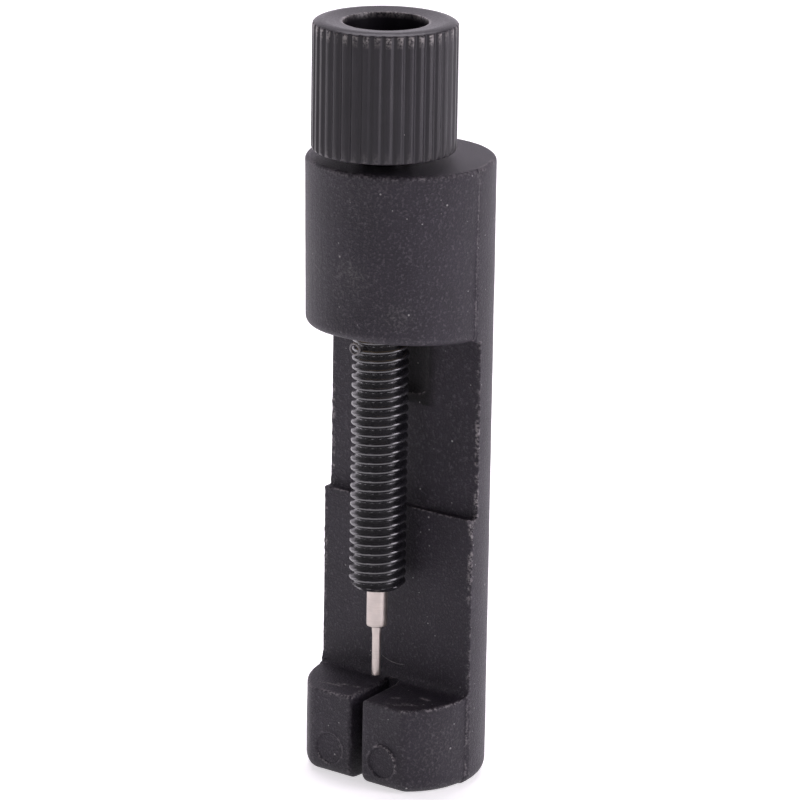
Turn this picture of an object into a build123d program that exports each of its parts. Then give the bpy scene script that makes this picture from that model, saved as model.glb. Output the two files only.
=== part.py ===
from build123d import *
from math import ceil, pi, radians, tan
import os

# A small hand press that pushes the link pins out of a fine chain or bracelet. A knurled knob turns
# a screw down through the collar of a moulded body, and the screw carries a thin steel pin towards
# the slotted foot that the link lies on.
#
# Millimetres. The origin is the middle of the round base, +Z runs up the body to the knob, and the
# open working side faces -Y. The screw's axis is parallel to Z, in front of the body's own axis.

# ---------------------------------------------------------------- Driving dimensions

# Moulded body
body_height = 67.5
back_radius = 9.9  # half-round back, from base to top
parting_y = 0.3  # plane where the mould's two halves meet
parting_step = 0.26  # beside the foot, the front half stands inside the back half by this much
collar_length = 17.9
collar_step = 0.12  # the same at the collar's underside
collar_flare = 0.77  # degrees: the collar's front widens towards the top
foot_height = 9.4  # at the front edge of the foot
window_draft = 4.0  # degrees: the window is wider at its mouth, so that its core can leave
lower_face_length = 19.6  # spine face above the foot, on the parting plane
recess_depth = 0.95  # the upper spine face lies this far behind the lower one
top_rounding = 0.5
collar_rounding = 1.0
base_rounding = 1.5

# Slotted foot
foot_front = 6.45  # flat front, from the body's axis
foot_flat_width = 12.4
foot_corner_rounding = 1.8
foot_top_rounding = 0.25
slot_width = 1.5
slot_mouth_rounding = 0.4
ejector_radius = 1.65
ejector_depth = 0.12
ejector_spacing = 7.1
ejector_height = 3.05

# Drive screw: metric thread, socket head
thread_radius = 3.0  # at the crests
thread_pitch = 1.0
thread_depth_share = 0.61  # of the pitch, as the standard 60 degree profile has it
thread_lead = 1.56  # pitches between the screw's end and the start of its helix
end_chamfer = 0.55
neck_length = 4.0  # plain shank under the head
neck_relief = 0.1  # the neck is this much smaller in radius than the crests
head_radius = 5.0
head_height = 6.0
head_chamfer = 0.5
socket_across_flats = 5.0
socket_depth = 3.0

# Knurled knob
knob_radius = 7.56
knob_length = 13.7
knob_gap = 1.1  # above the body at rest: what is left of the downward travel
knob_wall_above_head = 5.8
knob_lip = 0.58  # the hole above the head is this much smaller in radius than the head
knob_top_chamfer_drop = 0.54
knob_top_chamfer_width = 0.76
knob_bottom_chamfer = 0.35
knob_hole_chamfer = 0.2
knurl_count = 40
knurl_depth = 0.3
knurl_groove_width = 0.74
knurl_floor_width = 0.36
knurl_phase = 4.5  # degrees from +X to the first ridge

# Push pin
pin_radius = 1.1
pin_reach = 4.45  # thick part below the screw's end
pin_edge = 0.12
tip_radius = 0.46
tip_root_radius = 0.54
tip_root_length = 1.2
tip_length = 5.55
tip_edge = 0.06
tip_gap = 1.59  # between the tip and the foot's top at rest
pin_shank_length = 6.0  # inside the screw
pin_groove_height = 1.2  # above the screw's end
pin_groove_width = 0.8
pin_groove_depth = 0.2
crimp_width = 0.5

# Threaded insert, pressed into the collar from below
insert_length = 8.0
insert_wall = 1.2  # from the thread's crests to the outside
flange_rim = 0.8  # the flange stands out by this much
flange_thickness = 0.8
insert_knurl_count = 24
insert_knurl_depth = 0.2
insert_band_length = 2.6
insert_edge = 0.3
pocket_rounding = 1.2

# Fits
spine_gap = 0.325  # between the screw's crests and the lower spine face
thread_clearance = 0.08  # between the two threads, square to their faces
guide_clearance = 0.1  # round the screw where it only passes through
swivel_clearance = 0.04  # round the push pin inside the screw
swivel_end_float = 0.05
insert_bite = 0.1  # how deep the insert's knurl sinks into the collar
flange_clearance = 0.2  # round the flange, and in the pocket that it comes up through
head_bite = 0.02  # press fit of the screw's head in the knob

# ---------------------------------------------------------------- Derived sizes

foot_radius = back_radius - parting_step
collar_radius = back_radius - collar_step
draft = tan(radians(window_draft))
collar_underside = body_height - collar_length
collar_top_radius = collar_radius + collar_length * tan(radians(collar_flare))
ledge_height = foot_height + (foot_front + parting_y) * draft + lower_face_length
upper_face_y = parting_y + recess_depth


def foot_top(y):
    """Height of the foot's top, which rises towards the spine."""
    return foot_height + (y + foot_front) * draft


def collar_bottom(y):
    """Height of the collar's underside, which falls towards the spine."""
    return collar_underside - (y + collar_radius) * draft


screw_y = parting_y - spine_gap - thread_radius
screw_plane = Plane((0, screw_y, 0))  # across the screw's axis, at the base
screw_section = Plane((0, screw_y, 0), x_dir=(1, 0, 0), z_dir=(0, -1, 0))  # along the axis
screw_axis = Axis((0, screw_y, 0), (0, 0, 1))

tip_end = foot_top(screw_y) + tip_gap
pin_shoulder = tip_end + tip_length
screw_end = pin_shoulder + pin_reach
knob_bottom = body_height + knob_gap
knob_top = knob_bottom + knob_length
head_top = knob_top - knob_wall_above_head
head_bottom = head_top - head_height

knob_hole_radius = head_radius - knob_lip

insert_radius = thread_radius + insert_wall
flange_radius = insert_radius + flange_rim
insert_bottom = collar_underside - flange_clearance / 2
insert_top = insert_bottom + insert_length
flange_top = insert_bottom + flange_thickness
pocket_radius = flange_radius + flange_clearance
pocket_bottom = insert_bottom - insert_length

thread_depth = thread_depth_share * thread_pitch
thread_root = thread_radius - thread_depth
neck_radius = thread_radius - neck_relief
thread_start = screw_end - thread_lead * thread_pitch
thread_top = head_bottom - neck_length

# ---------------------------------------------------------------- Thread


def threaded_rod(start, turns, growth=0.0):
    """A closed rod about Z with a 60 degree thread, from the height start. Growth moves its faces
    outwards, which makes the rod that cuts a nut for the same thread."""
    slope = tan(pi / 6)
    crest = thread_radius + growth
    root = thread_root + growth
    crest_width = thread_pitch / 8 + 2 * growth * slope
    flank_width = thread_depth * slope
    # One pitch of the thread's outline, from the lower edge of the crest, as radius and height.
    outline = [
        (crest, -crest_width / 2),
        (crest, crest_width / 2),
        (root, crest_width / 2 + flank_width),
        (root, thread_pitch - crest_width / 2 - flank_width),
        (crest, thread_pitch - crest_width / 2),
    ]

    def one_turn(radius, height):
        return Edge.make_helix(thread_pitch, thread_pitch, radius, center=(0, 0, height)).edge()

    faces = []
    for turn in range(turns):
        base = start + turn * thread_pitch
        for low, high in zip(outline, outline[1:]):
            lower_edge = one_turn(low[0], base + low[1])
            upper_edge = one_turn(high[0], base + high[1])
            faces.append(Face.make_surface_from_curves(lower_edge, upper_edge))

    # Each end is closed by a ramp from the axis to the helix and a flat face that steps up one pitch.
    for end in (start, start + turns * thread_pitch):
        foot = end - crest_width / 2
        axis = Edge.make_line((0, 0, foot), (0, 0, foot + thread_pitch))
        faces.append(Face.make_surface_from_curves(axis, one_turn(crest, foot)))
        step = [(radius, 0, end + height) for radius, height in outline]
        corners = [(0, 0, foot), *step, (0, 0, foot + thread_pitch)]
        faces.append(Face(Wire.make_polygon(corners, close=True)))
    return Solid(Shell(faces))


def on_screw_axis(shape):
    """Move a shape that was made about Z onto the screw's axis."""
    return Pos(0, screw_y, 0) * shape


# ---------------------------------------------------------------- Body

front_space = Plane.XZ.offset(-parting_y)  # faces -Y, at the parting plane
reach = 4 * back_radius

with BuildPart() as back_half:
    with BuildSketch(Plane.XZ):
        with BuildLine():
            Line((0, 0), (back_radius - base_rounding, 0))
            RadiusArc(
                (back_radius - base_rounding, 0), (back_radius, base_rounding), -base_rounding
            )
            Line((back_radius, base_rounding), (back_radius, body_height - top_rounding))
            RadiusArc(
                (back_radius, body_height - top_rounding),
                (back_radius - top_rounding, body_height),
                -top_rounding,
            )
            Polyline((back_radius - top_rounding, body_height), (0, body_height), (0, 0))
        make_face()
    revolve(axis=Axis.Z)
    split(bisect_by=front_space, keep=Keep.BOTTOM)
    # Upper spine face, set back from the lower one.
    with BuildSketch(Plane.YZ):
        with BuildLine():
            Polyline(
                (parting_y - recess_depth, ledge_height - recess_depth * draft),
                (upper_face_y, ledge_height + recess_depth * draft),
                (upper_face_y, collar_bottom(upper_face_y)),
                (parting_y - recess_depth, collar_bottom(parting_y - recess_depth)),
                close=True,
            )
        make_face()
    extrude(amount=reach, both=True, mode=Mode.SUBTRACT)

with BuildPart() as collar_front:
    with BuildSketch(Plane.XZ):
        with BuildLine():
            Polyline(
                (0, collar_underside - collar_length),
                (2 * collar_radius - collar_top_radius, collar_underside - collar_length),
                (collar_top_radius, body_height),
                (0, body_height),
                close=True,
            )
        make_face()
    revolve(axis=Axis.Z)
    split(bisect_by=front_space, keep=Keep.TOP)
    with BuildSketch(Plane.YZ):
        with BuildLine():
            Polyline(
                (-reach, -reach),
                (reach, -reach),
                (reach, collar_bottom(reach)),
                (-reach, collar_bottom(-reach)),
                close=True,
            )
        make_face()
    extrude(amount=reach, both=True, mode=Mode.SUBTRACT)
    fillet(collar_front.edges().filter_by(GeomType.ELLIPSE), collar_rounding)
    fillet(collar_front.edges().filter_by(GeomType.CIRCLE).group_by(Axis.Z)[-1], top_rounding)

flat_end = (foot_flat_width / 2, -foot_front)


def in_front_of_parting(edge):
    """True for an edge that doesn't lie on the plane where the two halves meet."""
    return edge.center().Y < parting_y - foot_top_rounding


with BuildPart() as foot_front_half:
    with BuildSketch():
        with BuildLine():
            Line((-flat_end[0], flat_end[1]), flat_end)
            right_arc = TangentArc((foot_radius, parting_y), flat_end, tangent=(0, -1))
            mirror(right_arc, about=Plane.YZ)
            Line((-foot_radius, parting_y), (foot_radius, parting_y))
        make_face()
    extrude(amount=foot_height + reach)
    with BuildSketch(Plane.YZ):
        with BuildLine():
            Polyline(
                (-reach, foot_top(-reach)),
                (reach, foot_top(reach)),
                (reach, foot_height + 2 * reach),
                (-reach, foot_height + 2 * reach),
                close=True,
            )
        make_face()
    extrude(amount=reach, both=True, mode=Mode.SUBTRACT)
    flat_corners = foot_front_half.edges().filter_by(Axis.Z).group_by(Axis.Y)[0]
    fillet(flat_corners, foot_corner_rounding)
    sole = foot_front_half.faces().group_by(Axis.Z)[0].edges()
    fillet(sole.filter_by(in_front_of_parting), base_rounding)
    rim = foot_front_half.faces().group_by(Axis.Z)[-1].edges()
    fillet(rim.filter_by(in_front_of_parting), foot_top_rounding)
    # Slot through the whole foot, back to the spine.
    with BuildSketch():
        with Locations((0, parting_y - reach / 2)):
            Rectangle(slot_width, reach)
    extrude(amount=2 * reach, mode=Mode.SUBTRACT)
    slot_walls = foot_front_half.faces().filter_by(Plane.YZ).edges()
    fillet(slot_walls.filter_by(in_front_of_parting), slot_mouth_rounding)
    # Shallow marks left by the mould's two ejector pins.
    with BuildSketch(Plane.XZ.offset(foot_front)):
        with Locations(
            (-ejector_spacing / 2, ejector_height),
            (ejector_spacing / 2, ejector_height),
        ):
            Circle(ejector_radius)
    extrude(amount=-ejector_depth, mode=Mode.SUBTRACT)

with BuildPart() as body:
    add(back_half.part)
    add(collar_front.part)
    add(foot_front_half.part)
    # Room for the insert's flange, and the round-ended pocket in the spine that it comes up through.
    with BuildSketch(screw_section):
        with BuildLine():
            Line((0, pocket_bottom), (pocket_radius - pocket_rounding, pocket_bottom))
            RadiusArc(
                (pocket_radius - pocket_rounding, pocket_bottom),
                (pocket_radius, pocket_bottom + pocket_rounding),
                -pocket_rounding,
            )
            Polyline(
                (pocket_radius, pocket_bottom + pocket_rounding),
                (pocket_radius, flange_top),
                (0, flange_top),
                (0, pocket_bottom),
            )
        make_face()
    revolve(axis=screw_axis, mode=Mode.SUBTRACT)
    with BuildSketch(screw_plane.offset(flange_top)):
        Circle(insert_radius - insert_bite)
    extrude(amount=insert_top - flange_top, mode=Mode.SUBTRACT)
    with BuildSketch(screw_plane.offset(insert_top)):
        Circle(thread_radius + guide_clearance)
    extrude(amount=body_height - insert_top, mode=Mode.SUBTRACT)

# ---------------------------------------------------------------- Threaded insert

with BuildPart() as thread_insert:
    with BuildSketch(screw_plane.offset(insert_bottom)):
        Circle(flange_radius)
    extrude(amount=flange_thickness)
    with BuildSketch(screw_plane.offset(flange_top)):
        Circle(insert_radius - insert_knurl_depth)
    extrude(amount=insert_top - flange_top)
    chamfer(thread_insert.edges().group_by(Axis.Z)[-1], insert_edge)
    # Two knurled bands with a plain groove between them.
    tooth_pitch = 2 * pi * insert_radius / insert_knurl_count
    band_gap = (insert_top - flange_top - insert_edge - 2 * insert_band_length) / 2
    for band_start in (flange_top + band_gap / 2, insert_top - insert_edge - insert_band_length):
        with BuildSketch(screw_plane.offset(band_start)):
            with PolarLocations(insert_radius - insert_knurl_depth, insert_knurl_count):
                Polygon(
                    (-insert_knurl_depth, -tooth_pitch / 2),
                    (insert_knurl_depth, 0),
                    (-insert_knurl_depth, tooth_pitch / 2),
                    align=None,
                )
        extrude(amount=insert_band_length)
    tap_turns = ceil(insert_length / thread_pitch) + 3
    tap_skip = int((insert_bottom - thread_start) / thread_pitch) - 1
    tap = threaded_rod(thread_start + tap_skip * thread_pitch, tap_turns, thread_clearance)
    add(on_screw_axis(tap), mode=Mode.SUBTRACT)

# ---------------------------------------------------------------- Drive screw

with BuildPart() as drive_screw:
    rod_turns = ceil((thread_top - thread_start) / thread_pitch) + 1
    add(on_screw_axis(threaded_rod(thread_start, rod_turns)))
    # Keep the thread between its chamfered end and the plain neck.
    with BuildSketch(screw_section):
        with BuildLine():
            Polyline(
                (0, screw_end),
                (thread_radius - end_chamfer, screw_end),
                (thread_radius + end_chamfer, screw_end + 2 * end_chamfer),
                (thread_radius + end_chamfer, thread_top),
                (0, thread_top),
                close=True,
            )
        make_face()
    revolve(axis=screw_axis, mode=Mode.INTERSECT)
    with BuildSketch(screw_plane.offset(thread_top)):
        Circle(neck_radius)
    extrude(amount=head_bottom - thread_top)
    with BuildSketch(screw_plane.offset(head_bottom)):
        Circle(head_radius)
    extrude(amount=head_height)
    chamfer(drive_screw.edges().group_by(Axis.Z)[-1], head_chamfer)
    with BuildSketch(screw_plane.offset(head_top)):
        RegularPolygon(socket_across_flats / 2, side_count=6, major_radius=False)
    extrude(amount=-socket_depth, mode=Mode.SUBTRACT)
    # Blind bore for the push pin, with a crimped ring that holds the pin by its groove.
    bore_radius = pin_radius + swivel_clearance
    bore_top = screw_end + pin_shank_length + swivel_end_float
    groove_middle = screw_end + pin_groove_height + pin_groove_width / 2
    crimp_radius = pin_radius - pin_groove_depth + swivel_clearance
    with BuildSketch(screw_section):
        with BuildLine():
            Polyline(
                (0, screw_end - pin_edge),
                (bore_radius, screw_end - pin_edge),
                (bore_radius, groove_middle - crimp_width / 2),
                (crimp_radius, groove_middle - crimp_width / 2),
                (crimp_radius, groove_middle + crimp_width / 2),
                (bore_radius, groove_middle + crimp_width / 2),
                (bore_radius, bore_top),
                (0, bore_top),
                close=True,
            )
        make_face()
    revolve(axis=screw_axis, mode=Mode.SUBTRACT)

# ---------------------------------------------------------------- Knob

with BuildPart() as knob:
    with BuildSketch(screw_section):
        with BuildLine():
            Polyline(
                (head_radius - head_bite, knob_bottom),
                (knob_radius - knob_bottom_chamfer, knob_bottom),
                (knob_radius, knob_bottom + knob_bottom_chamfer),
                (knob_radius, knob_top - knob_top_chamfer_drop),
                (knob_radius - knob_top_chamfer_width, knob_top),
                (knob_hole_radius + knob_hole_chamfer, knob_top),
                (knob_hole_radius, knob_top - knob_hole_chamfer),
                (knob_hole_radius, head_top),
                (head_radius - head_bite, head_top),
                close=True,
            )
        make_face()
    revolve(axis=screw_axis)
    # Straight knurl: grooves with sloping sides, all the way down.
    groove_angle = 360 / knurl_count
    overshoot = knurl_depth
    spread = overshoot * (knurl_groove_width - knurl_floor_width) / (2 * knurl_depth)
    with BuildSketch(screw_plane.offset(knob_bottom)):
        with PolarLocations(
            knob_radius, knurl_count, start_angle=knurl_phase + groove_angle / 2
        ):
            Polygon(
                (-knurl_depth, -knurl_floor_width / 2),
                (overshoot, -knurl_groove_width / 2 - spread),
                (overshoot, knurl_groove_width / 2 + spread),
                (-knurl_depth, knurl_floor_width / 2),
                align=None,
            )
    extrude(amount=knob_length, mode=Mode.SUBTRACT)

# ---------------------------------------------------------------- Push pin

with BuildPart() as push_pin:
    shank_top = screw_end + pin_shank_length
    groove_bottom = screw_end + pin_groove_height
    groove_radius = pin_radius - pin_groove_depth
    with BuildSketch(screw_section):
        with BuildLine():
            Polyline(
                (0, tip_end),
                (tip_radius - tip_edge, tip_end),
                (tip_radius, tip_end + tip_edge),
                (tip_radius, pin_shoulder - tip_root_length),
                (tip_root_radius, pin_shoulder),
                (pin_radius - pin_edge, pin_shoulder),
                (pin_radius, pin_shoulder + pin_edge),
                (pin_radius, groove_bottom),
                (groove_radius, groove_bottom),
                (groove_radius, groove_bottom + pin_groove_width),
                (pin_radius, groove_bottom + pin_groove_width),
                (pin_radius, shank_top - pin_edge),
                (pin_radius - pin_edge, shank_top),
                (0, shank_top),
                close=True,
            )
        make_face()
    revolve(axis=screw_axis)

# ---------------------------------------------------------------- Hand over

body.part.label = "body"
thread_insert.part.label = "thread_insert"
drive_screw.part.label = "drive_screw"
knob.part.label = "knob"
push_pin.part.label = "push_pin"

os.makedirs("parts", exist_ok=True)
for piece in (body, thread_insert, drive_screw, knob, push_pin):
    export_step(piece.part, f"parts/{piece.part.label}.step")
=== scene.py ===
from math import cos, pi, radians, sin, tan

import bpy
import numpy as np
from mathutils import Matrix, Vector


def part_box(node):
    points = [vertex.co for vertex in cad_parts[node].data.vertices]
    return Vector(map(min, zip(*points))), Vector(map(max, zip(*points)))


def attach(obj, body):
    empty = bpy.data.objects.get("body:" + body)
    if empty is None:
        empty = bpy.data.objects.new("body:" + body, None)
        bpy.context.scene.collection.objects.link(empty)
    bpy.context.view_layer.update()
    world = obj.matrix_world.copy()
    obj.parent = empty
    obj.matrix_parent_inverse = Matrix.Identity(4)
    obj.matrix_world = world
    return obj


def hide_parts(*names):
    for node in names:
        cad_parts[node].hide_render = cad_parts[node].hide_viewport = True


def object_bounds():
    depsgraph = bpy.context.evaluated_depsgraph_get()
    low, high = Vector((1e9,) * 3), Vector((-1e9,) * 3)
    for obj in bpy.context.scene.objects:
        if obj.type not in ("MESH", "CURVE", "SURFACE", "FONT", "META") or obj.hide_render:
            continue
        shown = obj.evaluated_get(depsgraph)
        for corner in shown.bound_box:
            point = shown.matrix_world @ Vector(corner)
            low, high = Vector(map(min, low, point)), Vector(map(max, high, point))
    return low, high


# Looks for the link pin press: a moulded body, a knurled knob, a black screw and a bright push pin.
# Metres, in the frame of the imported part: +Z up to the knob, the working side open towards -Y.

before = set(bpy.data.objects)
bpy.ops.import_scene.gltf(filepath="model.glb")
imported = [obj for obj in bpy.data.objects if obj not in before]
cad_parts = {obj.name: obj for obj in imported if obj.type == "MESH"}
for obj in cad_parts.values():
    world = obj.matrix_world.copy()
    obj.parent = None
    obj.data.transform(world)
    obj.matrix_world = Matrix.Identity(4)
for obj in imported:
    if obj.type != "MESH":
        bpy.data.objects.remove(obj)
cad_low, cad_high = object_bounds()
MM = 0.001

# ---------------------------------------------------------------- Places and sizes from the frame

body_low, body_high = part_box("body")
knob_low, knob_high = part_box("knob")
screw_low, screw_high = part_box("drive_screw")
pin_low, pin_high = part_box("push_pin")

axis_x = (screw_low.x + screw_high.x) / 2
axis_y = (screw_low.y + screw_high.y) / 2


def node_points(node):
    """The vertices of a CAD node, as rows of x, y and z."""
    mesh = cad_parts[node].data
    points = np.empty(len(mesh.vertices) * 3)
    mesh.vertices.foreach_get("co", points)
    return points.reshape(-1, 3)


def reach_from_axis(node):
    """Greatest distance of a node from the screw's axis."""
    points = node_points(node)
    return float(np.hypot(points[:, 0] - axis_x, points[:, 1] - axis_y).max())


# ---------------------------------------------------------------- Sizes that repeat the CAD source

parting_y = 0.3 * MM
foot_radius = 9.64 * MM
upper_face_y = 1.25 * MM
foot_front = 6.45 * MM
foot_height = 9.4 * MM
window_slope = tan(radians(4.0))
ledge_height = 29.472 * MM
collar_underside = 49.6 * MM

thread_pitch = 1.0 * MM
thread_depth = 0.61 * MM
thread_lead = 1.56 * MM
thread_radius = 3.0 * MM
crest_roundness = 1.35
end_chamfer = 0.55 * MM
neck_radius = 2.9 * MM
neck_length = 4.0 * MM
head_height = 6.0 * MM
head_chamfer = 0.5 * MM
socket_across_flats = 5.0 * MM
socket_depth = 3.0 * MM

knob_hole_radius = 4.42 * MM
knob_bore_radius = 4.98 * MM
knurl_count = 40
knurl_depth = 0.3 * MM
knurl_floor_width = 0.36 * MM
knurl_groove_width = 0.74 * MM
knurl_phase = radians(4.5)

pin_radius = 1.1 * MM
tip_radius = 0.46 * MM
tip_root_radius = 0.54 * MM
tip_root_length = 1.2 * MM
tip_length = 5.55 * MM
bore_radius = 1.14 * MM
bore_depth = 6.05 * MM
screw_end_flat = 1.6 * MM

ejector_radius = 1.65 * MM
ejector_spacing = 7.1 * MM
ejector_height = 3.05 * MM
ejector_rim_radius = ejector_radius + 0.22 * MM
torn_rim_bearing = radians(52)

# ---------------------------------------------------------------- Noise for sculpting


class Noise:
    """Smooth random values in space, the same on every run."""

    def __init__(self, seed, side=64):
        self.side = side
        self.values = np.random.default_rng(seed).random((side, side, side))

    def at(self, points, size):
        """Values from 0 to 1 at the points, with features of the given size."""
        cells = points / size
        base = np.floor(cells).astype(int)
        part = cells - base
        part = part * part * (3 - 2 * part)
        total = np.zeros(len(points))
        for corner in np.ndindex(2, 2, 2):
            index = (base + corner) % self.side
            share = np.where(corner, part, 1 - part).prod(axis=1)
            total += share * self.values[index[:, 0], index[:, 1], index[:, 2]]
        return total


noise = Noise(seed=11)


def smooth_step(value, low, high):
    """0 below low, 1 above high, and smooth in between."""
    share = np.clip((value - low) / (high - low), 0, 1)
    return share * share * (3 - 2 * share)


def bell(value, middle, width):
    """1 at the middle, falling smoothly to 0 over about twice the width."""
    return np.exp(-(((value - middle) / width) ** 2))


# ---------------------------------------------------------------- Node helpers for materials


def node(tree, kind, inputs=None, **settings):
    """Add a shader node, with its settings and its inputs as values or as sockets to link."""
    made = tree.nodes.new(kind)
    for name, value in settings.items():
        setattr(made, name, value)
    for name, value in (inputs or {}).items():
        if isinstance(value, bpy.types.NodeSocket):
            tree.links.new(value, made.inputs[name])
        else:
            made.inputs[name].default_value = value
    return made


def material(name, **values):
    """A new material with one Principled shader, whose own sockets take the given values."""
    made = bpy.data.materials.new(name)
    made.use_nodes = True
    tree = made.node_tree
    shader = tree.nodes["Principled BSDF"]
    for socket, value in values.items():
        shader.inputs[socket.replace("_", " ")].default_value = value
    return made, tree, shader


def own_place(tree):
    """Coordinates fixed to the piece, in metres."""
    return node(tree, "ShaderNodeTexCoord").outputs["Object"]


def stretched(tree, place, scale):
    return node(tree, "ShaderNodeVectorMath", {0: place, 1: scale}, operation="MULTIPLY").outputs[0]


def grain(tree, place, scale, detail=2.0, roughness=0.5):
    """Noise from about 0.3 to 0.7, with scale features to the metre."""
    inputs = {"Vector": place, "Scale": scale, "Detail": detail, "Roughness": roughness}
    return node(tree, "ShaderNodeTexNoise", inputs).outputs["Fac"]


def spread(tree, value, low, high, to_low=0.0, to_high=1.0):
    """Map a value from low..high onto to_low..to_high, and clamp it there."""
    inputs = {"Value": value, "From Min": low, "From Max": high, "To Min": to_low, "To Max": to_high}
    return node(tree, "ShaderNodeMapRange", inputs, clamp=True).outputs["Result"]


def times(tree, one, other):
    return node(tree, "ShaderNodeMath", {0: one, 1: other}, operation="MULTIPLY").outputs[0]


def plus(tree, one, other):
    return node(tree, "ShaderNodeMath", {0: one, 1: other}, operation="ADD").outputs[0]


def tinted(tree, share, colour, other):
    """Colour, turning into the other one as the share goes from 0 to 1."""
    made = node(tree, "ShaderNodeMix", data_type="RGBA")
    for index, value in ((0, share), (6, colour), (7, other)):
        if isinstance(value, bpy.types.NodeSocket):
            tree.links.new(value, made.inputs[index])
        else:
            made.inputs[index].default_value = value
    return made.outputs[2]


def clouded(tree, cloud, dark, light):
    """Colour that drifts from dark to light with a cloud of noise."""
    return tinted(tree, spread(tree, cloud, 0.3, 0.7), dark, light)


def painted(tree, name):
    """A share that the mesh carries at its vertices."""
    return node(tree, "ShaderNodeAttribute", attribute_name=name).outputs["Fac"]


def dust(tree, place, cells, size, share):
    """1 on small round specks, at most one in each cell, in the given share of the cells."""
    texture = node(tree, "ShaderNodeTexVoronoi", {"Vector": place, "Scale": cells})
    near = spread(tree, texture.outputs["Distance"], size * 0.6, size, 1.0, 0.0)
    chosen = node(tree, "ShaderNodeSeparateColor", {"Color": texture.outputs["Color"]}).outputs[0]
    return times(tree, near, spread(tree, chosen, 1 - share, 1 - share + 0.01))


def bumped(tree, shader, layers):
    """Link bumps to the shader, from the first layer down: each is a height and its depth in metres."""
    normal = None
    for height, depth in layers:
        inputs = {"Height": height, "Distance": depth, "Strength": 1.0}
        if normal is not None:
            inputs["Normal"] = normal
        normal = node(tree, "ShaderNodeBump", inputs).outputs["Normal"]
    tree.links.new(normal, shader.inputs["Normal"])


# ---------------------------------------------------------------- Materials

dust_colour = (0.30, 0.29, 0.29, 1)


def moulded_plastic():
    """Black glass-filled plastic: fine grain, cloudy tone, dust, and paler worn edges."""
    made, tree, shader = material("black_moulding", Specular_IOR_Level=0.36)
    place = own_place(tree)
    cloud = grain(tree, place, 260, 3)
    fine = grain(tree, place, 3600, 3, 0.65)
    tiny = grain(tree, place, 9000, 2, 0.6)
    colour = clouded(tree, cloud, (0.0130, 0.0102, 0.0170, 1), (0.0210, 0.0168, 0.0265, 1))
    colour = tinted(tree, spread(tree, tiny, 0.35, 0.65, 0.0, 0.6), colour, (0.0050, 0.0040, 0.0065, 1))
    flecks = spread(tree, fine, 0.53, 0.70)
    colour = tinted(tree, times(tree, flecks, 0.9), colour, (0.072, 0.062, 0.075, 1))
    # Painted shade: the pocket round the screw under the collar is darkened in its colour and made
    # rougher, standing in for the shade that falls there.
    painted_pocket_shade = painted(tree, "painted_pocket_shade")
    colour = tinted(tree, painted_pocket_shade, colour, (0.0035, 0.0030, 0.0040, 1))
    scuffs = times(tree, painted(tree, "scuff"), spread(tree, fine, 0.42, 0.66))
    colour = tinted(tree, scuffs, colour, (0.085, 0.080, 0.082, 1))
    worn = times(tree, painted(tree, "wear"), spread(tree, fine, 0.42, 0.58))
    colour = tinted(tree, worn, colour, (0.27, 0.25, 0.255, 1))
    specks = plus(tree, dust(tree, place, 420, 0.055, 0.35), dust(tree, place, 900, 0.08, 0.30))
    colour = tinted(tree, specks, colour, dust_colour)
    tree.links.new(colour, shader.inputs["Base Color"])
    rough = plus(tree, spread(tree, fine, 0.3, 0.7, 0.44, 0.60), times(tree, painted_pocket_shade, 0.25))
    tree.links.new(rough, shader.inputs["Roughness"])
    bumped(tree, shader, [(fine, 0.00014), (tiny, 0.00006), (specks, 0.00004)])
    return made


def satin_black():
    """Black anodised knob: satin flanks, a turned top ring, rubbed edges, and a painted highlight on the
    top ridges and the hole's lip.
    """
    made, tree, shader = material("satin_black", Specular_IOR_Level=0.36)
    place = own_place(tree)
    cloud = grain(tree, place, 400, 3)
    fine = grain(tree, place, 4000, 2)
    drawn = grain(tree, stretched(tree, place, (6000.0, 6000.0, 300.0)), 1.0, 2)
    colour = clouded(tree, cloud, (0.0085, 0.0070, 0.0100, 1), (0.0120, 0.0100, 0.0140, 1))
    # On the knob the painted "wear" share is partly rubbed metal and partly a painted highlight on the
    # ridge tops and the hole's lip.
    worn = times(tree, painted(tree, "wear"), spread(tree, fine, 0.35, 0.60))
    colour = tinted(tree, times(tree, worn, 0.9), colour, (0.30, 0.28, 0.27, 1))
    specks = dust(tree, place, 500, 0.04, 0.10)
    colour = tinted(tree, specks, colour, dust_colour)
    tree.links.new(colour, shader.inputs["Base Color"])
    tree.links.new(spread(tree, drawn, 0.3, 0.7, 0.30, 0.42), shader.inputs["Roughness"])
    bumped(tree, shader, [(drawn, 0.00001), (fine, 0.00001)])
    return made


def oiled_black():
    """Black oxide on the screw: dark and glossy, with faint streaks along the thread."""
    made, tree, shader = material("oiled_black", IOR=1.9)
    place = own_place(tree)
    cloud = grain(tree, place, 500, 3)
    streak = grain(tree, stretched(tree, place, (900.0, 900.0, 9000.0)), 1.0, 2)
    colour = clouded(tree, cloud, (0.0085, 0.0080, 0.0100, 1), (0.0150, 0.0145, 0.0170, 1))
    worn = times(tree, painted(tree, "wear"), spread(tree, cloud, 0.35, 0.65))
    colour = tinted(tree, times(tree, worn, 0.35), colour, (0.10, 0.10, 0.10, 1))
    tree.links.new(colour, shader.inputs["Base Color"])
    tree.links.new(spread(tree, cloud, 0.3, 0.7, 0.19, 0.27), shader.inputs["Roughness"])
    bumped(tree, shader, [(streak, 0.000003)])
    return made


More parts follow.
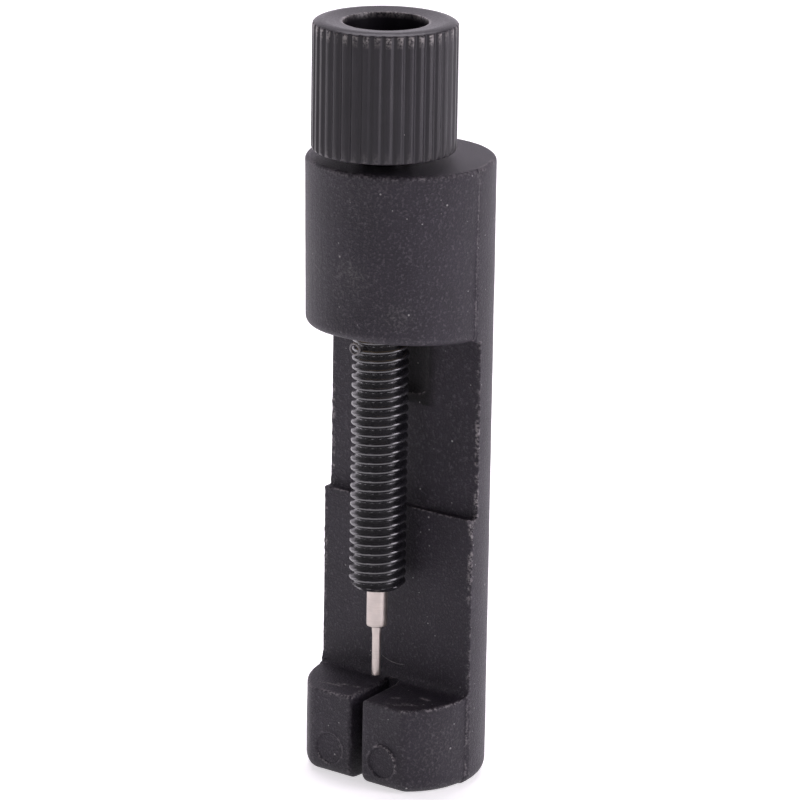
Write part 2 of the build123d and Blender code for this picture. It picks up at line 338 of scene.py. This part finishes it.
def ground_steel():
    """Bright pin: fine rings left by the grinding wheel, and a few dark pits."""
    made, tree, shader = material("ground_steel", Metallic=1.0)
    place = own_place(tree)
    rings = grain(tree, stretched(tree, place, (400.0, 400.0, 16000.0)), 1.0, 2)
    cloud = grain(tree, place, 900, 2)
    colour = clouded(tree, cloud, (0.46, 0.415, 0.385, 1), (0.53, 0.475, 0.435, 1))
    dull = times(tree, spread(tree, rings, 0.55, 0.75), 0.25)
    colour = tinted(tree, dull, colour, (0.30, 0.27, 0.24, 1))
    pits = dust(tree, place, 700, 0.09, 0.05)
    colour = tinted(tree, pits, colour, (0.04, 0.03, 0.03, 1))
    tree.links.new(colour, shader.inputs["Base Color"])
    tree.links.new(spread(tree, rings, 0.3, 0.7, 0.30, 0.46), shader.inputs["Roughness"])
    bumped(tree, shader, [(rings, 0.000008)])
    return made


def turned_brass():
    """The insert's brass, with turning rings and a dull film."""
    made, tree, shader = material("turned_brass", Metallic=1.0)
    place = own_place(tree)
    rings = grain(tree, stretched(tree, place, (300.0, 300.0, 9000.0)), 1.0, 2)
    film = grain(tree, place, 700, 3)
    colour = tinted(tree, spread(tree, film, 0.35, 0.7), (0.42, 0.31, 0.16, 1), (0.22, 0.17, 0.09, 1))
    tree.links.new(colour, shader.inputs["Base Color"])
    tree.links.new(spread(tree, film, 0.3, 0.7, 0.30, 0.50), shader.inputs["Roughness"])
    bumped(tree, shader, [(rings, 0.00001)])
    return made


# ---------------------------------------------------------------- Mesh helpers


def mesh_object(name, points, faces):
    mesh = bpy.data.meshes.new(name)
    mesh.from_pydata(points.tolist(), [], faces)
    mesh.validate()
    mesh.update()
    made = bpy.data.objects.new(name, mesh)
    bpy.context.scene.collection.objects.link(made)
    return made


def even_angles(count):
    return np.arange(count) * 2 * pi / count


def turned(name, rows, angles, crease=radians(38)):
    """A closed piece about the screw's axis. Each row is a radius, or one for each angle, and a height.
    The first and last rows are points on the axis."""
    count = len(angles)
    points = [[axis_x, axis_y, rows[0][1]]]
    for radius, height in rows[1:-1]:
        radii = np.broadcast_to(radius, count)
        x = axis_x + radii * np.cos(angles)
        y = axis_y + radii * np.sin(angles)
        points.extend(np.column_stack([x, y, np.full(count, height)]))
    points.append([axis_x, axis_y, rows[-1][1]])
    last = len(points) - 1
    rings = len(rows) - 2
    faces = []
    for step in range(count):
        after = (step + 1) % count
        faces.append((0, 1 + after, 1 + step))
        for ring in range(rings - 1):
            low = 1 + ring * count
            faces.append((low + step, low + after, low + count + after, low + count + step))
        top = 1 + (rings - 1) * count
        faces.append((top + step, top + after, last))
    made = mesh_object(name, np.array(points), faces)
    smooth(made, crease)
    return made


def smooth(piece, crease=None):
    piece.data.polygons.foreach_set("use_smooth", [True] * len(piece.data.polygons))
    if crease is not None:
        piece.data.set_sharp_from_angle(angle=crease)
    piece.data.update()


def points_and_normals(mesh):
    points = np.empty(len(mesh.vertices) * 3)
    mesh.vertices.foreach_get("co", points)
    normals = np.empty(len(mesh.vertices) * 3)
    mesh.vertex_normals.foreach_get("vector", normals)
    return points.reshape(-1, 3), normals.reshape(-1, 3)


def edge_share(mesh, points, normals, sharp):
    """How much each vertex stands on an outer edge: 1 where its neighbours lie sharp metres below."""
    ends = np.empty(len(mesh.edges) * 2, int)
    mesh.edges.foreach_get("vertices", ends)
    ends = ends.reshape(-1, 2)
    total = np.zeros_like(points)
    near = np.zeros(len(points))
    for one, other in ((0, 1), (1, 0)):
        for column in range(3):
            total[:, column] += np.bincount(ends[:, one], points[ends[:, other], column], len(points))
        near += np.bincount(ends[:, one], minlength=len(points))
    below = points - total / near[:, None]
    return np.clip((below * normals).sum(axis=1) / sharp, 0, 1)


def paint(mesh, name, shares):
    layer = mesh.attributes.new(name, "FLOAT", "POINT")
    layer.data.foreach_set("value", np.ascontiguousarray(shares, dtype=np.float32))


def finish_piece(piece, body, slot, look, *nodes):
    piece.data.materials.clear()
    piece.data.materials.append(look)
    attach(piece, body)
    if nodes:
        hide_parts(*nodes)


# ---------------------------------------------------------------- Moulded body

VOXEL = 0.11 * MM


def remeshed_copy(node_name, name):
    """The CAD node's shape as a fine even mesh with slightly rounded edges."""
    rough = bpy.data.objects.new("rough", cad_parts[node_name].data.copy())
    bpy.context.scene.collection.objects.link(rough)
    remesh = rough.modifiers.new("remesh", "REMESH")
    remesh.mode = "VOXEL"
    remesh.voxel_size = VOXEL
    soften = rough.modifiers.new("soften", "SMOOTH")
    soften.factor = 0.5
    soften.iterations = 2
    evaluated = rough.evaluated_get(bpy.context.evaluated_depsgraph_get())
    mesh = bpy.data.meshes.new_from_object(evaluated)
    mesh.name = name
    bpy.data.objects.remove(rough)
    made = bpy.data.objects.new(name, mesh)
    bpy.context.scene.collection.objects.link(made)
    return made


def foot_top(y):
    return foot_height + (y + foot_front) * window_slope


def spine_edge_y(z):
    """Where the spine's side edges lie: on the parting line, and further back above the ledge."""
    ledge = smooth_step(z, ledge_height - 0.3 * MM, ledge_height + 0.3 * MM)
    return parting_y + (upper_face_y - parting_y) * ledge


def torn_rim_share(turn):
    """1 at the upper right of an ejector mark's rim, and 0 away from there."""
    return smooth_step(np.cos(turn - torn_rim_bearing), 0.1, 0.7)


def flash_strength(z):
    """The flash on the spine's edges is strongest for some way above and below the ledge."""
    return 0.35 + 0.65 * (smooth_step(z, 20 * MM, 23 * MM) - smooth_step(z, 39 * MM, 41 * MM))


def scratch_share(points):
    """Share of short scratches across the top of the foot."""
    marks = (
        ((-6.2, -4.7), (-3.6, -4.4)),
        ((-4.2, -4.0), (-1.5, -3.6)),
        ((3.4, -5.6), (5.0, -5.2)),
        ((4.6, -4.9), (6.4, -4.3)),
        ((5.6, -2.4), (7.0, -2.5)),
        ((2.8, -4.2), (3.7, -3.7)),
    )
    share = np.zeros(len(points))
    places = points[:, :2]
    for start, end in marks:
        start, end = np.array(start) * MM, np.array(end) * MM
        reach = end - start
        along = np.clip((places - start) @ reach / (reach @ reach), 0, 1)
        away = np.linalg.norm(places - start - along[:, None] * reach, axis=1)
        share += bell(away, 0, 0.10 * MM)
    on_top = np.abs(points[:, 2] - foot_top(points[:, 1])) < 0.15 * MM
    return share * on_top * smooth_step(noise.at(points, 0.7 * MM), 0.2, 0.6)


def sculpted(points, normals):
    """The moulding's points with its flash, ragged edges, ejector marks and slight unevenness."""
    x, y, z = points.T
    out = np.hypot(x, y)
    rag = noise.at(points, 0.45 * MM)
    wave = noise.at(points, 1.6 * MM)
    move = normals * ((noise.at(points, 5 * MM) - 0.5) * 0.05 * MM)[:, None]
    move += normals * ((wave - 0.5) * 0.02 * MM)[:, None]

    # Seam: a thin line of flash stands on the front half, beside the step between the halves.
    on_side = smooth_step(out, foot_radius - 0.35 * MM, foot_radius - 0.15 * MM)
    in_window = smooth_step(z, foot_top(y), foot_top(y) + 0.5 * MM)
    in_window *= 1 - smooth_step(z, collar_underside - 1.2 * MM, collar_underside - 0.7 * MM)
    seam = bell(y, parting_y - 0.12 * MM, 0.09 * MM) * on_side * (1 - in_window)
    move += normals * (seam * (0.05 + 0.10 * wave) * MM)[:, None]
    gap = bell(y, parting_y + 0.10 * MM, 0.08 * MM) * on_side * (1 - in_window)
    move -= normals * (gap * 0.08 * MM)[:, None]

    # Ragged flash along both edges of the spine.
    at_edge = bell(y, spine_edge_y(z), 0.14 * MM) * smooth_step(np.abs(x), 9.5 * MM, 9.75 * MM)
    at_edge *= in_window
    at_edge *= np.where(x > 0, 1, 0.4) * flash_strength(z)
    move[:, 1] -= at_edge * (0.15 * (rag - 0.5) + 0.14 * smooth_step(rag, 0.62, 0.85)) * MM

    # The ledge runs into the upper spine face in a small hollow.
    corner = bell(y, upper_face_y, 0.35 * MM) * bell(z, ledge_height, 0.35 * MM)
    corner *= np.abs(x) < 9.3 * MM
    move[:, 1] -= corner * 0.22 * MM

    # The foot's top rises into the spine in a round corner, bent from the sharp one along its surface.
    radius = 1.0 * MM
    ahead, above = parting_y - y, z - foot_top(y)
    along = above - ahead
    in_corner = (np.minimum(ahead, above) > -0.12 * MM) & (np.minimum(ahead, above) < 0.12 * MM)
    in_corner &= np.abs(along) < radius
    turn = pi / 4 * (1 - along / radius)
    move[:, 1] += np.where(in_corner, ahead - radius * (1 - np.cos(turn)), 0)
    move[:, 2] += np.where(in_corner, radius * (1 - np.sin(turn)) - above, 0)

    # Scratches on top of the foot.
    move[:, 2] -= scratch_share(points) * 0.05 * MM

    # Burr where the ledge meets the right edge, and a smaller one on the left.
    for side, height in ((1, 0.45 * MM), (-1, 0.15 * MM)):
        away = np.linalg.norm(points - (side * 9.45 * MM, parting_y, ledge_height), axis=1)
        burr = bell(away, 0, 0.38 * MM) * height
        move[:, 1] -= burr * (0.5 + rag)
        move[:, 2] += burr * 0.5

    # Ejector marks: a fine groove round each disc, and a ragged rim that is higher on the right one.
    on_front = smooth_step(-y, foot_front - 0.5 * MM, foot_front - 0.3 * MM)
    for side, rim in ((-1, 0.04 * MM), (1, 0.24 * MM)):
        across = x - side * ejector_spacing / 2
        along = z - ejector_height
        ring = np.hypot(across, along)
        turn = np.arctan2(along, across)
        groove = bell(ring, ejector_radius - 0.02 * MM, 0.09 * MM) * on_front
        move[:, 1] += groove * 0.11 * MM
        lip = bell(ring, ejector_rim_radius, 0.13 * MM) * on_front
        move[:, 1] -= lip * (0.25 + torn_rim_share(turn)) * (0.4 + rag) * rim
    return points + move


def flash_share(points):
    """Share of pale, torn plastic along the seam, the spine's edges and the right ejector mark's rim."""
    x, y, z = points.T
    in_window = (z > foot_top(y)) & (z < collar_underside - 0.7 * MM)
    in_line = bell(y, spine_edge_y(z), 0.16 * MM) * flash_strength(z)
    line = np.where(in_window, in_line, 0.45 * bell(y, parting_y - 0.1 * MM, 0.10 * MM))
    line *= smooth_step(np.hypot(x, y), foot_radius - 0.3 * MM, foot_radius - 0.1 * MM)
    ring = np.hypot(x - ejector_spacing / 2, z - ejector_height)
    turn = np.arctan2(z - ejector_height, x - ejector_spacing / 2)
    rim = bell(ring, ejector_rim_radius, 0.14 * MM) * torn_rim_share(turn)
    rim *= y < -foot_front + 0.4 * MM
    torn = smooth_step(noise.at(points, 0.5 * MM), 0.35, 0.7)
    return (line + rim) * torn


def scuffed(points):
    """Share of light scuffing: faint rubbed patches on the collar and on top of the foot."""
    x, y, z = points.T
    patches = (
        ((1.1, -9.6, 56.6), 1.9, 0.8),
        ((5.8, -7.7, 52.6), 1.4, 0.7),
        ((-4.5, -8.5, 57.5), 2.6, 0.45),
        ((2.5, -9.3, 66.0), 3.5, 0.35),
        ((5.5, -5.0, 10.0), 2.2, 0.55),
        ((8.6, -3.5, 5.0), 3.0, 0.35),
    )
    share = np.zeros(len(points))
    for place, size, strength in patches:
        away = np.linalg.norm(points - np.array(place) * MM, axis=1)
        share += strength * bell(away, 0, size * MM)
    return np.clip(share * (0.4 + noise.at(points, 0.9 * MM)), 0, 1)


def make_moulding():
    piece = remeshed_copy("body", "moulding")
    mesh = piece.data
    points, normals = points_and_normals(mesh)
    points = sculpted(points, normals)
    points = np.clip(points, np.array(body_low), np.array(body_high))
    mesh.vertices.foreach_set("co", points.ravel())
    mesh.update()
    points, normals = points_and_normals(mesh)
    wear = edge_share(mesh, points, normals, 0.010 * MM)
    patchy = smooth_step(noise.at(points, 1.3 * MM), 0.25, 0.75)
    wear *= (0.2 + 0.8 * patchy) * (0.25 + 0.75 * smooth_step(normals[:, 2], 0.1, 0.4))
    paint(mesh, "wear", np.clip(wear + flash_share(points) + scratch_share(points), 0, 1))
    paint(mesh, "scuff", scuffed(points))
    # Painted shade: a mask over the pocket round the screw just below the collar, which the material
    # darkens.
    from_screw = np.hypot(points[:, 0] - axis_x, points[:, 1] - axis_y)
    near_collar = (points[:, 2] > collar_underside - 9 * MM) & (points[:, 2] < cad_high.z - 16 * MM)
    paint(mesh, "painted_pocket_shade", near_collar * (1 - smooth_step(from_screw, 5.0 * MM, 6.2 * MM)))
    smooth(piece)
    thin = piece.modifiers.new("thin", "DECIMATE")
    thin.ratio = 0.5
    finish_piece(piece, "body", "moulding", moulded_plastic(), "body")


# ---------------------------------------------------------------- Knob


def straight_run(start, end, steps):
    """Evenly spaced (radius, height) pairs after start, up to end."""
    shares = np.arange(1, steps + 1) / steps
    return [(start[0] + (end[0] - start[0]) * s, start[1] + (end[1] - start[1]) * s) for s in shares]


def make_knob():
    radius = reach_from_axis("knob")
    samples = 16
    angles = even_angles(knurl_count * samples)
    # Distance round the rim from the nearest groove's middle.
    groove_turn = 2 * pi / knurl_count
    turn = (angles - knurl_phase) % groove_turn - groove_turn / 2
    from_groove = np.abs(turn) * radius
    floor, mouth = knurl_floor_width / 2, knurl_groove_width / 2
    depth = knurl_depth * 0.72 * (1 - smooth_step(from_groove, 0, mouth * 1.25))
    outline = radius - depth
    bottom, top = knob_low.z, knob_high.z
    shoulder_width, shoulder_drop, dish = 1.2 * MM, 0.55 * MM, 0.20 * MM
    shoulder = [
        (radius - shoulder_width * (1 - cos(turn)), top - shoulder_drop * (1 - sin(turn)), 1)
        for turn in np.arange(1, 17) / 16 * pi / 2
    ]
    corners = (
        (knob_bore_radius, bottom, 1),
        (radius - 0.42 * MM, bottom, 4),
        (radius - 0.10 * MM, bottom + 0.16 * MM, 6),
        (radius, bottom + 0.42 * MM, 6),
        (radius, top - shoulder_drop, 12),
        *shoulder,
        (knob_hole_radius + 0.20 * MM, top - dish, 10),
        (knob_hole_radius + 0.06 * MM, top - dish - 0.03 * MM, 2),
        (knob_hole_radius, top - dish - 0.15 * MM, 2),
        (knob_hole_radius, screw_high.z, 10),
        (knob_bore_radius, screw_high.z, 2),
        (knob_bore_radius, bottom, 6),
    )
    path = [corners[0][:2]]
    for corner in corners[1:]:
        path += straight_run(path[-1], corner[:2], corner[2])
    path = path[:-1]
    count, rings = len(angles), len(path)
    points = []
    for r, height in path:
        radii = np.minimum(outline, r)
        x, y = axis_x + radii * np.cos(angles), axis_y + radii * np.sin(angles)
        points.append(np.column_stack([x, y, np.full(count, height)]))
    faces = []
    for ring in range(rings):
        low, high = ring * count, (ring + 1) % rings * count
        for step in range(count):
            after = (step + 1) % count
            faces.append((low + step, low + after, high + after, high + step))
    piece = mesh_object("knob_sleeve", np.concatenate(points), faces)
    mesh = piece.data
    places, normals = points_and_normals(mesh)
    height = places[:, 2]
    ridge = np.tile(1 - depth / depth.max(), rings)
    out = np.hypot(places[:, 0] - axis_x, places[:, 1] - axis_y)
    # Paler colour on the ridge tops under the shoulder and round the hole's lip: partly rubbed metal,
    # partly a painted highlight where these facets catch the light.
    ridge_top_wear_and_highlight = bell(height, top - 0.46 * MM, 0.11 * MM) * (out > radius - shoulder_width)
    near_bottom = bell(height, bottom + 0.3 * MM, 0.2 * MM) * 0.12
    hole_lip_wear_and_highlight = bell(out, knob_hole_radius + 0.08 * MM, 0.11 * MM)
    hole_lip_wear_and_highlight *= smooth_step(height, top - 0.5 * MM, top - 0.25 * MM)
    wear = (ridge_top_wear_and_highlight + near_bottom) * smooth_step(ridge, 0.5, 0.95) + hole_lip_wear_and_highlight * 1.1
    paint(mesh, "wear", np.clip(wear * noise.at(places, 0.6 * MM) * 2.2, 0, 1))
    smooth(piece, radians(50))
    finish_piece(piece, "screw", "knob_black", satin_black(), "knob")


# ---------------------------------------------------------------- Drive screw


def thread_depth_at(angles, height):
    """How far the thread's surface lies inside its crests, at each angle of one height."""
    start = screw_low.z - thread_lead
    phase = (height - start) / thread_pitch - angles / (2 * pi)
    from_crest = np.abs((phase + 0.5) % 1 - 0.5) * 2
    return thread_depth * (0.5 - 0.5 * np.cos(pi * from_crest)) ** crest_roundness


def make_screw():
    angles = even_angles(108)
    end, head_top = screw_low.z, screw_high.z
    head_bottom = head_top - head_height
    thread_top = head_bottom - neck_length
    head_radius = reach_from_axis("drive_screw")
    rows = [(0, end + bore_depth), (bore_radius, end + bore_depth)]
    rows += straight_run((bore_radius, end + bore_depth), (bore_radius, end + 0.05 * MM), 6)
    rows += [(bore_radius + 0.05 * MM, end), (screw_end_flat, end)]
    per_pitch = 18
    count = int(round((thread_top - end) / thread_pitch * per_pitch))
    for step in range(count + 1):
        height = end + (thread_top - end) * step / count
        radii = thread_radius - thread_depth_at(angles, height)
        radii = np.minimum(radii, thread_radius - end_chamfer + (height - end))
        rows.append((radii, height))
    socket = socket_across_flats / 2 / np.cos((angles + pi / 6) % (pi / 3) - pi / 6)
    rows += [(neck_radius, thread_top), (neck_radius, head_bottom), (head_radius, head_bottom)]
    rows += [(head_radius, head_top - head_chamfer), (head_radius - head_chamfer, head_top)]
    rows += [(socket * 1.03, head_top), (socket, head_top - 0.1 * MM), (socket, head_top - socket_depth)]
    rows += [(0, head_top - socket_depth - 0.4 * MM)]
    piece = turned("screw_rod", rows, angles)
    places, _ = points_and_normals(piece.data)
    out = np.hypot(places[:, 0] - axis_x, places[:, 1] - axis_y)
    crest = smooth_step(out, thread_radius - 0.12 * MM, thread_radius)
    paint(piece.data, "wear", crest * noise.at(places, 1.3 * MM))
    finish_piece(piece, "screw", "blackened_steel", oiled_black(), "drive_screw")


# ---------------------------------------------------------------- Push pin


def make_pin():
    angles = even_angles(72)
    tip, top = pin_low.z, pin_high.z
    shoulder = tip + tip_length
    rows = [
        (0, tip),
        (tip_radius - 0.10 * MM, tip),
        (tip_radius - 0.03 * MM, tip + 0.03 * MM),
        (tip_radius, tip + 0.12 * MM),
    ]
    rows += straight_run((tip_radius, tip + 0.12 * MM), (tip_radius, shoulder - tip_root_length), 8)
    rows += straight_run((tip_radius, shoulder - tip_root_length), (tip_root_radius, shoulder), 4)
    rows += [
        (pin_radius - 0.16 * MM, shoulder),
        (pin_radius - 0.05 * MM, shoulder + 0.04 * MM),
        (pin_radius, shoulder + 0.16 * MM),
    ]
    rows += straight_run((pin_radius, shoulder + 0.16 * MM), (pin_radius, top - 0.12 * MM), 16)
    rows += [(pin_radius - 0.12 * MM, top), (0, top)]
    piece = turned("punch_pin", rows, angles, radians(50))
    finish_piece(piece, "pin", "bright_steel", ground_steel(), "push_pin")


# ---------------------------------------------------------------- Threaded insert


def dress_insert():
    """The insert keeps its CAD shape, with its sharp edges broken."""
    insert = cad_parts["thread_insert"]
    insert.data.materials.clear()
    insert.data.materials.append(turned_brass())
    bevel = insert.modifiers.new("broken_edges", "BEVEL")
    bevel.width = 0.03 * MM
    bevel.segments = 2
    bevel.limit_method = "ANGLE"


# ---------------------------------------------------------------- Small leftovers of making


def thread_tube(name, path, radius, sides=8):
    """A fine round thread along the path, pointed at both ends."""
    path = np.array(path)
    count = len(path)
    along = np.gradient(path, axis=0)
    along /= np.linalg.norm(along, axis=1)[:, None]
    side = np.cross(along, (0.3, 0.2, 0.93))
    side /= np.linalg.norm(side, axis=1)[:, None]
    other = np.cross(along, side)
    shares = np.arange(count) / (count - 1)
    radii = radius * np.clip(np.minimum(shares, 1 - shares) * 8, 0.15, 1)
    points, faces = [], []
    for turn in even_angles(sides):
        points.append(path + radii[:, None] * (side * cos(turn) + other * sin(turn)))
    for lane in range(sides):
        after = (lane + 1) % sides
        for step in range(count - 1):
            a, b = lane * count + step, after * count + step
            faces.append((a, b, b + 1, a + 1))
    for step in (0, count - 1):
        ring = tuple(lane * count + step for lane in range(sides))
        faces.append(ring if step else ring[::-1])
    made = mesh_object(name, np.concatenate(points), faces)
    smooth(made)
    return made


def pale_plastic():
    """Stressed plastic, paler than the moulding."""
    made, tree, shader = material("pale_plastic", Specular_IOR_Level=0.4, Roughness=0.45)
    cloud = grain(tree, own_place(tree), 2500, 3)
    colour = clouded(tree, cloud, (0.08, 0.075, 0.08, 1), (0.22, 0.21, 0.21, 1))
    tree.links.new(colour, shader.inputs["Base Color"])
    bumped(tree, shader, [(cloud, 0.00002)])
    return made


def make_whisker():
    """A hair of flash that lies on the lower spine face, beside the pin."""
    shares = np.linspace(0, 1, 25)
    x = -2.0 + 3.3 * shares
    z = 12.4 - 1.15 * shares ** 0.6 + 0.55 * shares ** 3
    y = np.full(len(shares), parting_y / MM - 0.02)
    piece = thread_tube("flash_whisker", np.column_stack([x, y, z]) * MM, 0.05 * MM)
    finish_piece(piece, "body", "moulding", pale_plastic())


def make_swarf():
    """A curl of plastic shaved off by the thread, caught under the collar."""
    turns = np.linspace(0, 1.35 * 2 * pi, 40)
    size = (0.76 - 0.05 * turns) * MM
    centre = np.array([-0.9 * MM, axis_y - 3.4 * MM, collar_underside - 2.0 * MM])
    path = centre + np.column_stack([size * np.cos(turns), 0.06 * MM * turns, size * np.sin(turns)])
    piece = thread_tube("swarf_curl", path, 0.12 * MM)
    finish_piece(piece, "body", "moulding", pale_plastic())


# ---------------------------------------------------------------- Stage, light and camera


camera_azimuth = radians(37.527)
camera_elevation = radians(16.258)
camera_roll = radians(0.92)
camera_distance = 560.6 * MM
camera_shift = 0.242 * MM
camera_drop = 0.2 * MM
studio_tint = (1.0, 0.93, 1.03)


def pointing(azimuth, elevation):
    """The direction at an angle from -Y towards +X, and at an angle above the floor."""
    level = cos(elevation)
    return Vector((sin(azimuth) * level, -cos(azimuth) * level, sin(elevation)))


def camera_axes():
    """The camera's right, up and back directions, and the level direction to its right."""
    back = pointing(camera_azimuth, camera_elevation)
    level = Vector((cos(camera_azimuth), sin(camera_azimuth), 0))
    upright = back.cross(level)
    right = level * cos(camera_roll) + upright * sin(camera_roll)
    up = upright * cos(camera_roll) - level * sin(camera_roll)
    return right, up, back, level


def make_camera():
    right, up, back, level = camera_axes()
    middle = Vector((0, 0, (cad_low.z + cad_high.z) / 2 - camera_drop))
    camera = bpy.data.objects.new("camera", bpy.data.cameras.new("camera"))
    bpy.context.scene.collection.objects.link(camera)
    camera.data.sensor_width = 36
    camera.data.lens = 240.0
    camera.data.clip_start = 0.02
    camera.data.clip_end = 20
    camera.matrix_world = Matrix((right, up, back)).transposed().to_4x4()
    camera.location = middle + level * camera_shift + back * camera_distance
    bpy.context.scene.camera = camera


def softbox(name, azimuth, elevation, distance, width, height, power):
    """A soft rectangular lamp that faces the middle of the object."""
    outward = pointing(radians(azimuth), radians(elevation))
    data = bpy.data.lights.new(name, "AREA")
    data.shape = "RECTANGLE"
    data.size = width
    data.size_y = height
    data.energy = power
    data.color = studio_tint
    lamp = bpy.data.objects.new(name, data)
    bpy.context.scene.collection.objects.link(lamp)
    lamp.location = Vector((0, 0, cad_high.z / 2)) + outward * distance
    lamp.rotation_mode = "QUATERNION"
    lamp.rotation_quaternion = (-outward).to_track_quat("-Z", "Y")


def make_stage():
    """A wide pale floor that glows a little."""
    side = 3.0
    corners = np.array([(-side, -side, 0), (side, -side, 0), (side, side, 0), (-side, side, 0)])
    floor = mesh_object("floor", corners, [(0, 1, 2, 3)])
    look, tree, shader = material(
        "pale_floor", Roughness=0.9, Specular_IOR_Level=0.1, Emission_Strength=0.6
    )
    shader.inputs["Emission Color"].default_value = (1.0, 0.98, 1.0, 1)
    tone = grain(tree, own_place(tree), 30, 2)
    colour = clouded(tree, tone, (0.88, 0.88, 0.88, 1), (0.90, 0.90, 0.90, 1))
    tree.links.new(colour, shader.inputs["Base Color"])
    floor.data.materials.append(look)


def make_world():
    """Studio light that is bright behind the object and dim on the side that it is seen from."""
    world = bpy.data.worlds.new("studio")
    bpy.context.scene.world = world
    world.use_nodes = True
    tree = world.node_tree
    sky = tree.nodes["Background"]
    sky.inputs["Color"].default_value = (*studio_tint, 1)
    behind = -camera_axes()[2]
    towards = node(tree, "ShaderNodeTexCoord").outputs["Generated"]
    facing = node(tree, "ShaderNodeVectorMath", {0: towards, 1: behind}, operation="DOT_PRODUCT")
    bright = spread(tree, facing.outputs["Value"], -0.3, 0.85, 0.12, 1.25)
    height = node(tree, "ShaderNodeSeparateXYZ", {0: towards}).outputs["Z"]
    ceiling = spread(tree, height, 0.25, 0.65, 1.0, 0.27)
    tree.links.new(times(tree, bright, ceiling), sky.inputs["Strength"])


def make_lamps():
    softbox("right_softbox", 105, 14, 0.5, 0.22, 0.5, 1.9)
    softbox("left_softbox", -2, 16, 0.7, 0.08, 0.4, 0.32)
    softbox("left_rim", -80, 12, 0.6, 0.2, 0.5, 0.6)
    softbox("back_wash", 217, 66, 1.1, 0.9, 0.7, 9.0)


make_moulding()
make_knob()
make_screw()
make_pin()
dress_insert()
make_whisker()
make_swarf()
make_stage()
make_world()
make_lamps()
make_camera()
bpy.context.scene.view_settings.view_transform = "Standard"
